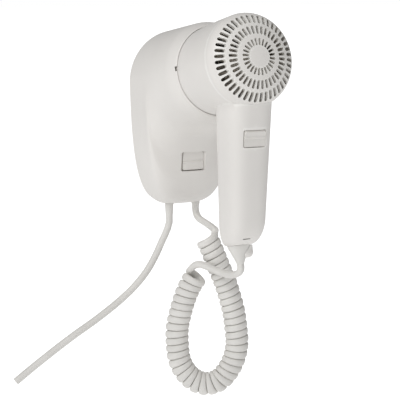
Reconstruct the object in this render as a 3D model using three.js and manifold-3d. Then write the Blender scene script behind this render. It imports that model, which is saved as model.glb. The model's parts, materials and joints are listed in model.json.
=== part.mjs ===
// Wall-mounted hair dryer: a wall base with a round cradle cup, and a handset that docks in it nose first.
// Units are millimetres. +Z is up, the wall is the plane y = 0 and the dryer stands out from it along -Y.
// The origin is the centre of the wall plate's back face.
import * as THREE from 'three';
import { mergeVertices } from 'three/addons/utils/BufferGeometryUtils.js';
import Module from 'manifold-3d';

const wasm = await Module();
wasm.setup();

// ---------------------------------------------------------------- driving dimensions

const GAP = 0.3;                 // clearance between neighbouring pieces
const FULL_TURN = 2 * Math.PI;

// The docked barrel's axis rises away from the wall. "s" runs along it, zero at the cradle's rim.
const AXIS_TILT = THREE.MathUtils.degToRad(12);
const RIM_CENTRE = new THREE.Vector3(0, -95, 52);

// Wall base
const BACK_HALF_WIDTH = 50.5;
const BACK_TOP_Z = 87.5;
const RIM_RADIUS = 49.2;
const RIM_BORE = 43.5;
const RIM_LIP = 4.8;
const BASE_WALL = 2.5;
const BASE_RING_POINTS = 36;
const BASE_RINGS = 11;
const LOWER_SQUARENESS = 2.1;    // how much squarer than an ellipse the base's lower end is
const LOWER_TAPER = 0.14;        // how much the base's back narrows towards its lower end
const PLATE_THICKNESS = 3;
const LINER_THICKNESS = 2;

// Handset barrel
const BARREL_RADIUS = 44;
const SEAM_RADIUS = 42.8;
const NOSE_RADIUS = 31;
const NOSE_S = -55;
const GRILLE_S = 58;
const DOME_S = 61;
const DOME_HEIGHT = 21.6;
const SHELL_WALL = 2.3;
const BARREL_SIDES = 36;

// Handle, in the barrel's frame: "h" is the height above the barrel's axis
const HANDLE_TOP_H = -20;
const HANDLE_END_H = -168;
const HANDLE_TOP_S = 48;
const HANDLE_END_S = 13.5;
const HANDLE_TOP_SIZE = [23.4, 25.6];
const HANDLE_END_SIZE = [18.4, 20.4];
const HANDLE_END_ROUND = 18;
const HANDLE_END_SHARE = 0.56;   // the flat end's share of the handle's section
const HANDLE_END_SHIFT = 4;       // the flat end lies this much nearer the wall than the handle's middle
const HANDLE_SQUARENESS = 3.2;
const HANDLE_RING_POINTS = 32;

// Rockers: width along X, height along Z
const HANDLE_ROCKER_SIZE = [22, 16];
const HANDLE_ROCKER_H = -72.5;
const BASE_ROCKER_SIZE = [22.5, 19];
const BASE_ROCKER_SHARE = 0.482;  // how far along the base's lower profile the switch lies
const ROCKER_DEPTH = 9;
const ROCKER_RECESS = 1.2;       // the pressed half lies this far below the housing
const ROCKER_PIVOT_DEPTH = 5.9;
const ROCKER_END_PLAY = 0.65;    // how much shorter each half of the key is than its half of the opening
const ROCKER_THROW = THREE.MathUtils.degToRad(14);
const PIN_RADIUS = 1;

// Intake grille: each ring of radial slots has an inner radius, an outer radius and a count
const SLOT_RINGS = [
  { inner: 10.5, outer: 17, count: 24 },
  { inner: 21.5, outer: 29, count: 36 },
  { inner: 33, outer: 39.5, count: 44 },
];
const SLOT_SHARE = 0.5;          // the slot's share of the pitch at the ring's middle

// Cords
const MAINS_RADIUS = 3.6;
const CURLY_WIRE_RADIUS = 2.9;
const COIL_RADIUS = 11.6;
const CORD_SIDES = 8;

// ---------------------------------------------------------------- materials

function plastic(colour, roughness = 0.45) {
  return new THREE.MeshStandardMaterial({ color: colour, roughness, metalness: 0 });
}

function metal(colour, roughness = 0.3) {
  return new THREE.MeshStandardMaterial({ color: colour, roughness, metalness: 1 });
}

const housing = () => plastic(0xded9d3);
const rockerPlastic = () => plastic(0xe4e0da, 0.35);
const darkPlastic = () => plastic(0x6f6a62, 0.6);
const cordSheath = () => plastic(0xd0cfcb, 0.5);
const mica = () => plastic(0xb9a888, 0.7);
const steel = () => metal(0xb8babc);

// ---------------------------------------------------------------- shape helpers

// A three.js geometry as a manifold solid.
function solid(geometry) {
  const bare = geometry.clone();
  bare.deleteAttribute('normal');
  bare.deleteAttribute('uv');
  const merged = mergeVertices(bare, 1e-4);
  return new wasm.Manifold(new wasm.Mesh({
    numProp: 3,
    vertProperties: Float32Array.from(merged.attributes.position.array),
    triVerts: Uint32Array.from(merged.index.array),
  }));
}

// A manifold solid as a three.js geometry.
function geometryOf(shape) {
  const mesh = shape.getMesh();
  const geometry = new THREE.BufferGeometry();
  geometry.setAttribute('position', new THREE.BufferAttribute(Float32Array.from(mesh.vertProperties), 3));
  geometry.setIndex(new THREE.BufferAttribute(Uint32Array.from(mesh.triVerts), 1));
  geometry.computeVertexNormals();
  return geometry;
}

const join = (...geometries) => geometries.map(solid).reduce((whole, piece) => whole.add(piece));
const cut = (shape, ...tools) => tools.map(solid).reduce((rest, tool) => rest.subtract(tool), shape);

function box(width, depth, height, x = 0, y = 0, z = 0) {
  return new THREE.BoxGeometry(width, depth, height).translate(x, y, z);
}

// A solid of revolution about Z. Its [radius, z] points start and end on the axis or close on themselves,
// and may run either way round.
function lathe(profile, sides = BARREL_SIDES) {
  const points = profile.map(([radius, z]) => new THREE.Vector2(radius, z));
  if (THREE.ShapeUtils.area(points) < 0) points.reverse();
  return new THREE.LatheGeometry(points, sides).rotateX(Math.PI / 2);
}

function rod(radius, from, to, sides = 16) {
  return lathe([[0, from], [radius, from], [radius, to], [0, to]], sides);
}

// A ring of rectangular section about Z.
function tubeRing(inner, outer, from, to, sides = BARREL_SIDES) {
  return lathe([[inner, from], [outer, from], [outer, to], [inner, to], [inner, from]], sides);
}

// Rings of equal point count, joined in order and closed at both ends by fans.
function loft(rings) {
  const count = rings[0].length;
  const positions = rings.flat().flatMap((point) => point.toArray());
  const index = [];
  for (let ring = 0; ring + 1 < rings.length; ring += 1) {
    for (let i = 0; i < count; i += 1) {
      const next = (i + 1) % count;
      const a = ring * count + i;
      const b = ring * count + next;
      index.push(a, b, b + count, a, b + count, a + count);
    }
  }
  for (const [ring, flip] of [[0, true], [rings.length - 1, false]]) {
    const centre = new THREE.Vector3();
    rings[ring].forEach((point) => centre.addScaledVector(point, 1 / count));
    const hub = positions.length / 3;
    positions.push(...centre.toArray());
    for (let i = 0; i < count; i += 1) {
      const a = ring * count + i;
      const b = ring * count + ((i + 1) % count);
      index.push(...(flip ? [b, a, hub] : [a, b, hub]));
    }
  }
  const geometry = new THREE.BufferGeometry();
  geometry.setAttribute('position', new THREE.Float32BufferAttribute(positions, 3));
  geometry.setIndex(index);
  return geometry;
}

// A round cord along a smooth curve through the given points.
function cord(points, radius, steps) {
  const path = new THREE.CatmullRomCurve3(points.map((point) => new THREE.Vector3(...point)));
  const section = new THREE.Shape();
  for (let i = 0; i < CORD_SIDES; i += 1) {
    const angle = (i / CORD_SIDES) * FULL_TURN;
    const corner = [radius * Math.cos(angle), radius * Math.sin(angle)];
    if (i === 0) section.moveTo(...corner);
    else section.lineTo(...corner);
  }
  section.closePath();
  return new THREE.ExtrudeGeometry(section, { steps, extrudePath: path, bevelEnabled: false });
}

// ---------------------------------------------------------------- frames

const RIM_UP = new THREE.Vector3(0, Math.sin(AXIS_TILT), Math.cos(AXIS_TILT));
const AXIS = new THREE.Vector3(0, -Math.cos(AXIS_TILT), Math.sin(AXIS_TILT));

// A point of the barrel's frame (x, h, s) in the wall's frame.
function barrelPoint(x, h, s) {
  return new THREE.Vector3(x, 0, 0).add(RIM_CENTRE).addScaledVector(RIM_UP, h).addScaledVector(AXIS, s);
}

// Geometry built about Z in the barrel's frame, moved to the docked barrel's place.
const BARREL_MATRIX = new THREE.Matrix4()
  .makeRotationX(Math.PI / 2 - AXIS_TILT)
  .setPosition(RIM_CENTRE);
const inBarrel = (geometry) => geometry.applyMatrix4(BARREL_MATRIX);

const dryer = new THREE.Group();

// Adds a named piece to the dryer from a geometry or a manifold solid.
function addPiece(name, shape, material) {
  const geometry = shape.isBufferGeometry ? shape : geometryOf(shape);
  const mesh = new THREE.Mesh(geometry, material);
  mesh.name = name;
  dryer.add(mesh);
}

// ---------------------------------------------------------------- wall base

// The base's lower profile in the plane x = 0: along the bottom, up the switch face and out to the rim.
const RIM_BOTTOM = barrelPoint(0, -RIM_RADIUS, -RIM_LIP);
const RIM_TOP = barrelPoint(0, RIM_RADIUS, -RIM_LIP);
const BACK_TOP = new THREE.Vector3(0, 0, BACK_TOP_Z);
const underside = new THREE.CatmullRomCurve3([
  new THREE.Vector3(0, 0, -86),
  new THREE.Vector3(0, -14, -87.5),
  new THREE.Vector3(0, -30, -82),
  new THREE.Vector3(0, -40, -62),
  new THREE.Vector3(0, -43, -36),
  new THREE.Vector3(0, -52, -16),
  new THREE.Vector3(0, -74, -5),
  RIM_BOTTOM,
]);
const BACK_DROP = BACK_TOP_Z - underside.getPointAt(0).z - 2 * BACK_HALF_WIDTH;

// One outline of the base: a half circle above, and a longer, squarer and narrowing half below.
function baseOutline(bottom, top, halfWidth) {
  const up = top.clone().sub(bottom);
  const drop = up.length() - halfWidth;
  up.normalize();
  const centre = top.clone().addScaledVector(up, -halfWidth);
  const lowerShare = THREE.MathUtils.clamp((drop - halfWidth) / BACK_DROP, 0, 1);
  const power = 2 / (2 + LOWER_SQUARENESS * lowerShare);
  const ring = [];
  for (let i = 0; i < BASE_RING_POINTS; i += 1) {
    const angle = (i / BASE_RING_POINTS) * FULL_TURN;
    const across = Math.cos(angle);
    const along = Math.sin(angle);
    let x = halfWidth * across;
    let v = halfWidth * along;
    if (along < 0) {
      const depth = Math.abs(along) ** power;
      x = halfWidth * Math.sign(across) * Math.abs(across) ** power;
      x *= 1 - LOWER_TAPER * lowerShare ** 4 * depth ** 1.5;
      v = -drop * depth;
    }
    ring.push(centre.clone().addScaledVector(up, v).setX(x));
  }
  return ring;
}

// The base's outline where the lower profile has gone the given share of its length; inset goes inwards.
function baseRing(share, inset) {
  const bottom = underside.getPointAt(share);
  const out = bottom.y / RIM_BOTTOM.y;
  const top = BACK_TOP.clone().lerp(RIM_TOP, out);
  const halfWidth = THREE.MathUtils.lerp(BACK_HALF_WIDTH, RIM_RADIUS, out ** 1.5);
  const tangent = underside.getTangentAt(share);
  bottom.add(new THREE.Vector3(0, tangent.z, -tangent.y).multiplyScalar(inset));
  top.addScaledVector(RIM_UP, -inset);
  return baseOutline(bottom, top, halfWidth - inset);
}

function rimRing(radius, s) {
  return baseOutline(barrelPoint(0, -radius, s), barrelPoint(0, radius, s), radius);
}

function baseOuter() {
  const rings = [];
  for (let i = 0; i <= BASE_RINGS; i += 1) rings.push(baseRing(i / BASE_RINGS, 0));
  for (const angle of [30, 60, 90].map(THREE.MathUtils.degToRad)) {
    rings.push(rimRing(RIM_RADIUS - RIM_LIP * (1 - Math.cos(angle)), RIM_LIP * (Math.sin(angle) - 1)));
  }
  return loft(rings);
}

// The inside of the base, open at the back and ending behind the rim's lip.
function baseInner() {
  const rings = [];
  for (let i = 0; i < BASE_RINGS; i += 1) rings.push(baseRing(i / BASE_RINGS, BASE_WALL));
  const opening = rings[0].map((point) => point.clone().setY(1));
  rings[0].forEach((point) => point.setY(0));
  rings.push(rimRing(RIM_RADIUS - BASE_WALL, -RIM_LIP - 1.5));
  return loft([opening, ...rings]);
}

const FIXINGS = [[-44.6, 30], [44.6, 30], [-34.4, -62], [34.4, -62]];
const FIXING_BOSS_RADIUS = 4.6;
const SCREW_HEAD_RADIUS = 2.4;
const SCREW_RADIUS = 1.3;
const BOSS_DEPTH = 16;
const GLAND_X = 15;
const GLAND_Y = -17;
const GLAND_Z = -86;
const GLAND_HOLE_RADIUS = 4.6;

function alongY(geometry) {
  return geometry.rotateX(Math.PI / 2);
}

// A rod along -Y from the wall's depth "from" to the depth "to".
function wallRod(radius, from, to, x, z, sides = 16) {
  return alongY(rod(radius, from, to, sides)).translate(x, 0, z);
}

const outerBase = solid(baseOuter());
const bossEnd = PLATE_THICKNESS + GAP;
const bosses = FIXINGS
  .map(([x, z]) => solid(wallRod(FIXING_BOSS_RADIUS, bossEnd, BOSS_DEPTH, x, z)))
  .reduce((all, boss) => all.add(boss));

// A face that a rocker sits in: a point on the housing, and how far the face leans from upright.
function faceFrom(centre, down) {
  return { centre, lean: Math.atan2(down.y, -down.z) };
}

// Places geometry drawn as (height, outwards, across) on a face of a housing.
function onFace(geometry, { centre, lean }) {
  const basis = new THREE.Matrix4().makeBasis(
    new THREE.Vector3(0, 0, 1),
    new THREE.Vector3(0, -1, 0),
    new THREE.Vector3(1, 0, 0),
  );
  return geometry.applyMatrix4(basis).rotateX(lean).translate(centre.x, centre.y, centre.z);
}

const baseFace = faceFrom(
  underside.getPointAt(BASE_ROCKER_SHARE),
  underside.getTangentAt(BASE_ROCKER_SHARE).negate(),
);

function rockerOpening([width, height], face) {
  return onFace(box(height + 2 * GAP, 30, width + 2 * GAP), face);
}

// A keyway in the rim's lip, just above the middle of its left side.
const keyway = inBarrel(box(3, 5.5, 6, -RIM_BORE - 0.5, 3, -2));

const baseShell = cut(
  outerBase.subtract(solid(baseInner())).add(bosses.intersect(outerBase)),
  inBarrel(rod(RIM_BORE, -RIM_LIP - 3, 2, BARREL_SIDES)),
  keyway,
  ...FIXINGS.map(([x, z]) => wallRod(SCREW_RADIUS + GAP, 0, BOSS_DEPTH - 2, x, z)),
  rockerOpening(BASE_ROCKER_SIZE, baseFace),
  ...[-GLAND_X, GLAND_X].map((x) => rod(GLAND_HOLE_RADIUS, -100, -70).translate(x, GLAND_Y, 0)),
);
addPiece('base_shell', baseShell, housing());

const plateRing = baseRing(0, BASE_WALL + GAP);
const keyholes = [48, -40].map((z) => wallRod(4, -1, 9, 0, z));
const keyholeSlots = [48, -40].map((z) => box(4, 20, 9, 0, 0, z + 6));
addPiece('wall_plate', cut(
  solid(loft([0, -PLATE_THICKNESS].map((y) => plateRing.map((point) => point.clone().setY(y))))),
  ...FIXINGS.map(([x, z]) => wallRod(SCREW_RADIUS + GAP, -1, 9, x, z)),
  ...FIXINGS.map(([x, z]) => wallRod(SCREW_HEAD_RADIUS + GAP, -1, 1.6, x, z)),
  ...keyholes,
  ...keyholeSlots,
), darkPlastic());

FIXINGS.forEach(([x, z], i) => {
  const profile = [
    [0, 0.3], [SCREW_HEAD_RADIUS, 0.3], [SCREW_HEAD_RADIUS, 1.3], [SCREW_RADIUS, 1.3], [SCREW_RADIUS, 12], [0, 13],
  ];
  const screw = solid(alongY(lathe(profile, 12)).translate(x, 0, z));
  addPiece(`back_screw_${i + 1}`, cut(screw, box(1, 1.4, 4, x, 0, z)), steel());
});

// The cup that the nose sits in: a liner behind the rim's lip, with a floor.
const CUP_FLOOR_S = NOSE_S - GAP;
const linerFront = -RIM_LIP - 1.8;
const linerOuter = RIM_RADIUS - BASE_WALL - GAP - 0.1;
addPiece('cradle_cup', inBarrel(lathe([
  [0, CUP_FLOOR_S - LINER_THICKNESS],
  [NOSE_RADIUS + 3, CUP_FLOOR_S - LINER_THICKNESS],
  [linerOuter, -30],
  [linerOuter, linerFront],
  [linerOuter - LINER_THICKNESS, linerFront],
  [linerOuter - LINER_THICKNESS, -30],
  [NOSE_RADIUS + 3 - LINER_THICKNESS, CUP_FLOOR_S],
  [0, CUP_FLOOR_S],
])), housing());

// ---------------------------------------------------------------- rocker switches

// The key is a shallow V that rocks about its pin by half the throw each way. One half lies level in the
// recess and the other stands out. "pressed" is +1 where the upper half is pressed in, -1 where the lower is.
function rockerKey([width, height], face, pressed) {
  const half = height / 2 - ROCKER_END_PLAY;
  const ridge = ROCKER_PIVOT_DEPTH - ROCKER_RECESS;
  const flare = half * Math.tan(ROCKER_THROW / 2);
  const foot = ROCKER_DEPTH - ROCKER_PIVOT_DEPTH;
  const key = new THREE.Shape();
  key.moveTo(half, ridge + flare);
  key.lineTo(0, ridge);
  key.lineTo(-half, ridge + flare);
  key.lineTo(-(half - 1), -foot);
  key.lineTo(half - 1, -foot);
  key.closePath();
  const body = new THREE.ExtrudeGeometry(key, { depth: width, bevelEnabled: false });
  body.translate(0, 0, -width / 2);
  const bore = rod(PIN_RADIUS + GAP, -width, width, 12);
  const shape = cut(solid(body.rotateZ((-pressed * ROCKER_THROW) / 2)), bore);
  return onFace(geometryOf(shape).translate(0, -ROCKER_PIVOT_DEPTH, 0), face);
}

// The switch behind the key: a box with two ears that hold the key's pin, and two blade terminals.
function switchBody([width], face) {
  const across = width / 2 + GAP + 1.6;
  const front = -ROCKER_DEPTH - 3.2;
  const earTop = 1.4 - ROCKER_PIVOT_DEPTH;
  const pieces = [box(16, 12, 2 * across, 0, front - 6, 0)];
  for (const side of [-1, 1]) {
    pieces.push(box(5, earTop - front + 1, 1.5, 0, (earTop + front - 1) / 2, side * (across - 0.75)));
    pieces.push(box(0.8, 6.4, 5, side * 4.5, front - 14.8, 0));
  }
  const bore = rod(PIN_RADIUS + GAP, -width, width, 12).translate(0, -ROCKER_PIVOT_DEPTH, 0);
  return cut(join(...pieces.map((piece) => onFace(piece, face))), onFace(bore, face));
}

function addRocker(prefix, size, face, pressed) {
  const pinHalf = size[0] / 2 + GAP + 1.4;
  const pin = rod(PIN_RADIUS, -pinHalf, pinHalf, 12).translate(0, -ROCKER_PIVOT_DEPTH, 0);
  addPiece(`${prefix}_rocker`, rockerKey(size, face, pressed), rockerPlastic());
  addPiece(`${prefix}_rocker_pin`, onFace(pin, face), steel());
  addPiece(`${prefix}_switch_body`, switchBody(size, face), darkPlastic());
}

// ---------------------------------------------------------------- handset housing

// The handle's section at height h, in the barrel's frame.
function handleSection(h) {
  const share = (HANDLE_TOP_H - h) / (HANDLE_TOP_H - HANDLE_END_H);
  return {
    centre: THREE.MathUtils.lerp(HANDLE_TOP_S, HANDLE_END_S, share),
    across: THREE.MathUtils.lerp(HANDLE_TOP_SIZE[0], HANDLE_END_SIZE[0], share),
    deep: THREE.MathUtils.lerp(HANDLE_TOP_SIZE[1], HANDLE_END_SIZE[1], share),
  };
}

// The point of the handle's outer face at height h, in the middle plane.
function handleFacePoint(h) {
  const { centre, deep } = handleSection(h);
  return barrelPoint(0, h, centre + deep);
}

// The handle's outline at height h: a rounded rectangle that narrows downwards and rounds off at its end.
function handleRing(h, inset, shrink = 1) {
  const section = handleSection(h);
  const centre = section.centre - (HANDLE_END_SHIFT * (1 - shrink)) / (1 - HANDLE_END_SHARE);
  const across = section.across * shrink - inset;
  const deep = section.deep * shrink - inset;
  const power = 2 / HANDLE_SQUARENESS;
  const ring = [];
  for (let i = 0; i < HANDLE_RING_POINTS; i += 1) {
    const angle = ((i + 0.5) / HANDLE_RING_POINTS) * FULL_TURN;
    const x = across * Math.sign(Math.cos(angle)) * Math.abs(Math.cos(angle)) ** power;
    const s = deep * Math.sign(Math.sin(angle)) * Math.abs(Math.sin(angle)) ** power;
    ring.push(barrelPoint(x, h, centre + s));
  }
  return ring;
}

function handleSolid(inset) {
  const roundFrom = HANDLE_END_H + HANDLE_END_ROUND;
  const rings = [HANDLE_TOP_H, -60, -90, -120, roundFrom].map((h) => handleRing(h, inset));
  for (const angle of [25, 50, 72, 90].map(THREE.MathUtils.degToRad)) {
    const shrink = 1 - (1 - HANDLE_END_SHARE) * (1 - Math.cos(angle));
    rings.push(handleRing(roundFrom - (HANDLE_END_ROUND - inset) * Math.sin(angle), inset, shrink));
  }
  return solid(loft(rings));
}

function barrelSolid(inset, overrun) {
  return solid(inBarrel(lathe([
    [0, NOSE_S - overrun],
    [NOSE_RADIUS - inset, NOSE_S - overrun],
    [40.5 - inset, -24],
    [SEAM_RADIUS - inset, -6],
    [BARREL_RADIUS - inset, 30],
    [BARREL_RADIUS - inset, GRILLE_S + overrun],
    [0, GRILLE_S + overrun],
  ])));
}

// The strain relief, the end boss and the screws stand about lines across the barrel.
// Geometry about Z becomes geometry about the line that goes down from the barrel's axis at (x, s).
function downHandle(geometry, x, s) {
  return inBarrel(geometry.rotateX(Math.PI / 2).translate(x, 0, s));
}

const BOOT_X = -0.5;
const BOOT_S = 8;
const BOOT_NECK_RADIUS = 5.4;
const BOOT_END = 186;             // how far below the barrel's axis the strain relief ends
const HANDLE_SCREWS = [{ h: -98, s: 22 }, { h: -146, s: 6 }];
const SCREW_BOSS_RADIUS = 4.2;
const HEAD_SEAT_X = 14;

const acrossHandle = (geometry, { h, s }) => inBarrel(geometry.rotateY(Math.PI / 2).translate(0, h, s));

// The handle's top passes under the grille's edge, so it is cut to clear the grille and roofed over.
const grilleClearance = inBarrel(rod(BARREL_RADIUS + GAP, GRILLE_S, 90, BARREL_SIDES));
const roofRadius = BARREL_RADIUS + GAP + SHELL_WALL;
const roofClearance = inBarrel(rod(roofRadius, GRILLE_S - SHELL_WALL, 90, BARREL_SIDES));
const housingOuter = barrelSolid(0, 0).add(cut(handleSolid(0), grilleClearance));
const housingInner = barrelSolid(SHELL_WALL, 1).add(cut(handleSolid(SHELL_WALL), roofClearance));
const handleFace = faceFrom(
  handleFacePoint(HANDLE_ROCKER_H),
  handleFacePoint(HANDLE_ROCKER_H - 1).sub(handleFacePoint(HANDLE_ROCKER_H)),
);
const screwBosses = HANDLE_SCREWS
  .map((place) => solid(acrossHandle(rod(SCREW_BOSS_RADIUS, -30, 30), place)))
  .reduce((all, boss) => all.add(boss))
  .intersect(housingOuter);
const housingShell = cut(
  housingOuter.subtract(housingInner).add(screwBosses),
  rockerOpening(HANDLE_ROCKER_SIZE, handleFace),
  downHandle(rod(BOOT_NECK_RADIUS + GAP, 160, 172), BOOT_X, BOOT_S),
  ...HANDLE_SCREWS.map((place) => acrossHandle(rod(SCREW_RADIUS + GAP, -14, 30), place)),
  ...HANDLE_SCREWS.map((place) => acrossHandle(rod(3.2, HEAD_SEAT_X, 30), place)),
);
for (const [name, side] of [['handset_shell_left', -1], ['handset_shell_right', 1]]) {
  const half = solid(box(120, 400, 400, side * (60 + GAP / 2), -100, 0));
  addPiece(name, housingShell.intersect(half), housing());
}

addRocker('base', BASE_ROCKER_SIZE, baseFace, 1);
addRocker('handle', HANDLE_ROCKER_SIZE, handleFace, -1);

HANDLE_SCREWS.forEach((place, i) => {
  const underHead = HEAD_SEAT_X + GAP;
  const profile = [
    [0, -12], [SCREW_RADIUS, -11], [SCREW_RADIUS, underHead], [2.8, underHead], [2.8, 15.6], [0, 15.6],
  ];
  const screw = solid(acrossHandle(lathe(profile, 12), place));
  addPiece(`handle_screw_${i + 1}`, cut(screw, acrossHandle(box(1, 4, 1.6, 0, 0, 15.6), place)), steel());
});

addPiece('handle_strain_relief', downHandle(lathe([
  [0, 162], [7.4, 162], [7.4, 164.6], [BOOT_NECK_RADIUS, 165.2], [BOOT_NECK_RADIUS, 168.3], [8.6, 168.6],
  [8.4, 172], [7.3, 175.8], [5.6, 179], [4.1, 181.8], [CURLY_WIRE_RADIUS + 0.5, BOOT_END], [0, BOOT_END],
], 16), BOOT_X, BOOT_S), cordSheath());

// The rounded boss beside the strain relief, scooped out to clear it.
addPiece('handle_end_boss', cut(
  solid(downHandle(lathe([
    [0, 168.4], [8.5, 168.4], [8.5, 174], [7, 178], [3.5, 180.4], [0, 180.6],
  ], 20), BOOT_X + 5.3, BOOT_S)),
  downHandle(rod(9, 160, 190, 20), BOOT_X, BOOT_S),
), housing());

// ---------------------------------------------------------------- intake grille

// The dome is a half ellipse with its corners on the plain bands between the slot rings.
function domeProfile(inset) {
  return [BARREL_RADIUS, 41.3, 31, 19.2, 8.5, 0].map((radius) => {
    const share = radius / BARREL_RADIUS;
    return [(BARREL_RADIUS - inset) * share, DOME_S + (DOME_HEIGHT - inset) * Math.sqrt(1 - share ** 2)];
  });
}

const plugOuter = BARREL_RADIUS - SHELL_WALL - GAP;
const plugInner = plugOuter - 1.6;
const GRILLE_WALL = 2;
const dome = lathe([
  [plugInner, GRILLE_S - 5], [plugOuter, GRILLE_S - 5], [plugOuter, GRILLE_S + GAP],
  [BARREL_RADIUS, GRILLE_S + GAP], ...domeProfile(0),
  ...domeProfile(GRILLE_WALL).reverse(), [plugInner, DOME_S], [plugInner, GRILLE_S - 5],
]);
const slots = SLOT_RINGS.flatMap(({ inner, outer, count }) => {
  const middle = (inner + outer) / 2;
  const width = (SLOT_SHARE * FULL_TURN * middle) / count;
  return Array.from({ length: count }, (_, i) => box(outer - inner, width, 30, middle, 0, DOME_S + 16)
    .rotateZ(((i + 0.5) / count) * FULL_TURN));
});
addPiece('rear_grille', cut(solid(inBarrel(dome)), ...slots.map(inBarrel)), housing());

// ---------------------------------------------------------------- fan and motor, along the barrel's axis

const DUCT_OUTER = SEAM_RADIUS - SHELL_WALL - GAP;
const DUCT_INNER = DUCT_OUTER - 1.6;
const MOTOR_RADIUS = 15;
const MOTOR_FROM = 14;
const MOTOR_TO = 36;
const SHAFT_RADIUS = 1.2;

const ductParts = [
  tubeRing(DUCT_INNER, DUCT_OUTER, 8, GRILLE_S - 5 - GAP),
  tubeRing(MOTOR_RADIUS + GAP, MOTOR_RADIUS + 2, MOTOR_FROM, MOTOR_TO - 4, 32),
];
const VANE_COUNT = 6;
for (let i = 0; i < VANE_COUNT; i += 1) {
  const from = MOTOR_RADIUS + 1;
  const vane = box(DUCT_INNER - from + 0.5, 1.6, 16, (DUCT_INNER + from) / 2, 0, 24);
  ductParts.push(vane.rotateZ((i / VANE_COUNT) * FULL_TURN));
}
addPiece('fan_duct', join(...ductParts.map(inBarrel)), darkPlastic());

addPiece('motor_can', inBarrel(lathe([
  [0, MOTOR_FROM], [MOTOR_RADIUS, MOTOR_FROM], [MOTOR_RADIUS, MOTOR_TO - 1], [MOTOR_RADIUS - 1, MOTOR_TO],
  [4, MOTOR_TO], [4, MOTOR_TO + 1.5], [SHAFT_RADIUS + GAP, MOTOR_TO + 1.5], [SHAFT_RADIUS + GAP, 22], [0, 22],
], 32)), steel());
addPiece('motor_end_cap', inBarrel(rod(MOTOR_RADIUS, MOTOR_FROM - 3, MOTOR_FROM - GAP, 32)), darkPlastic());
addPiece('motor_shaft', inBarrel(rod(SHAFT_RADIUS, 24, 50, 12)), steel());

const FAN_FROM = 39;
const FAN_TO = 50.5;
const FAN_RADIUS = DUCT_INNER - 0.8;
const FAN_HUB_RADIUS = 12;
const BLADE_COUNT = 9;
const BLADE_PITCH = THREE.MathUtils.degToRad(38);

function fanImpeller() {
  const hub = lathe([
    [0, FAN_FROM], [FAN_HUB_RADIUS, FAN_FROM], [FAN_HUB_RADIUS, FAN_TO - 3], [9, FAN_TO], [0, FAN_TO],
  ], 32);
  const length = FAN_RADIUS - FAN_HUB_RADIUS + 1;
  const blades = Array.from({ length: BLADE_COUNT }, (_, i) => box(length, 15, 1.2)
    .rotateX(BLADE_PITCH)
    .translate(FAN_HUB_RADIUS - 1 + length / 2, 0, (FAN_FROM + FAN_TO) / 2)
    .rotateZ((i / BLADE_COUNT) * FULL_TURN));
  const bored = cut(join(hub, ...blades), rod(SHAFT_RADIUS + GAP, 0, 80, 12));
  return bored.intersect(solid(rod(FAN_RADIUS, 0, 80)));
}
addPiece('fan_impeller', fanImpeller().transform(BARREL_MATRIX.elements), darkPlastic());

// ---------------------------------------------------------------- heater and outlet

const HEATER_FROM = -46;
const HEATER_TO = 3;
const MICA_REACH = 19.6;
const MICA_THICKNESS = 0.8;
const COIL_TURNS = 5;
const COIL_STEPS_PER_TURN = 10;

const heaterMiddle = (HEATER_FROM + HEATER_TO) / 2;
const heaterLength = HEATER_TO - HEATER_FROM;
addPiece('mica_frame', join(
  inBarrel(box(2 * MICA_REACH, MICA_THICKNESS, heaterLength, 0, 0, heaterMiddle)),
  inBarrel(box(MICA_THICKNESS, 2 * MICA_REACH, heaterLength, 0, 0, heaterMiddle)),
), mica());

// The heating wire winds round the mica frame's edges.
function heatingCoil() {
  const points = [];
  const steps = COIL_TURNS * COIL_STEPS_PER_TURN;
  for (let i = 0; i <= steps; i += 1) {
    const angle = (i / COIL_STEPS_PER_TURN) * FULL_TURN;
    const s = THREE.MathUtils.lerp(HEATER_FROM + 4, HEATER_TO - 4, i / steps);
    points.push([22 * Math.cos(angle), 22 * Math.sin(angle), s]);
  }
  return cord(points, 0.9, steps);
}
addPiece('heating_coil', inBarrel(heatingCoil()), metal(0x8d8680, 0.4));
addPiece('heat_shield', inBarrel(tubeRing(26.4, 27.2, -50, 5)), mica());
addPiece('thermostat', inBarrel(rod(5, 0.7, 3.6, 20).rotateY(Math.PI / 2).translate(0, 9, -16)), steel());
addPiece('thermal_fuse', inBarrel(rod(1.6, -34, -22, 12).translate(-2.3, -9, 0)), steel());

const OUTLET_RADIUS = NOSE_RADIUS - SHELL_WALL - GAP;
const outletFrom = NOSE_S + 0.4;
const outletTo = outletFrom + 2.4;
const outletBars = [0, 1, 2].map((i) => box(2 * OUTLET_RADIUS - 1, 1.4, 2, 0, 0, outletFrom + 1.2)
  .rotateZ((i / 3) * Math.PI));
const outletRings = [OUTLET_RADIUS, 22.4, 14.8, 7.2]
  .map((outer) => tubeRing(outer - 1.6, outer, outletFrom, outletTo, 24));
addPiece('outlet_grille', join(
  ...outletRings,
  ...outletBars,
).transform(BARREL_MATRIX.elements), darkPlastic());

// ---------------------------------------------------------------- wiring and cords

addPiece('terminal_block', cut(
  solid(box(34, 12, 12, 0, -15, 4)),
  ...[-12, -4, 4, 12].map((x) => wallRod(2, 12, 30, x, 4, 10)),
), darkPlastic());

const MAINS_TAIL = 14;
const CURLY_TAIL = 5;

// A strain relief through the base's bottom: an inner flange, a neck and a tapered tail.
function gland(cordRadius, x, tail) {
  return lathe([
    [0, 10], [6.4, 10], [6.4, 7.4], [GLAND_HOLE_RADIUS - GAP, 7.4], [GLAND_HOLE_RADIUS - GAP, -3],
    [cordRadius + 1.6, -3.6], [cordRadius + 0.3, -tail], [0, -tail],
  ], 12).translate(x, GLAND_Y, GLAND_Z);
}
addPiece('mains_strain_relief', gland(MAINS_RADIUS, -GLAND_X, MAINS_TAIL), cordSheath());
addPiece('base_coil_strain_relief', gland(CURLY_WIRE_RADIUS, GLAND_X, CURLY_TAIL), cordSheath());

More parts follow.
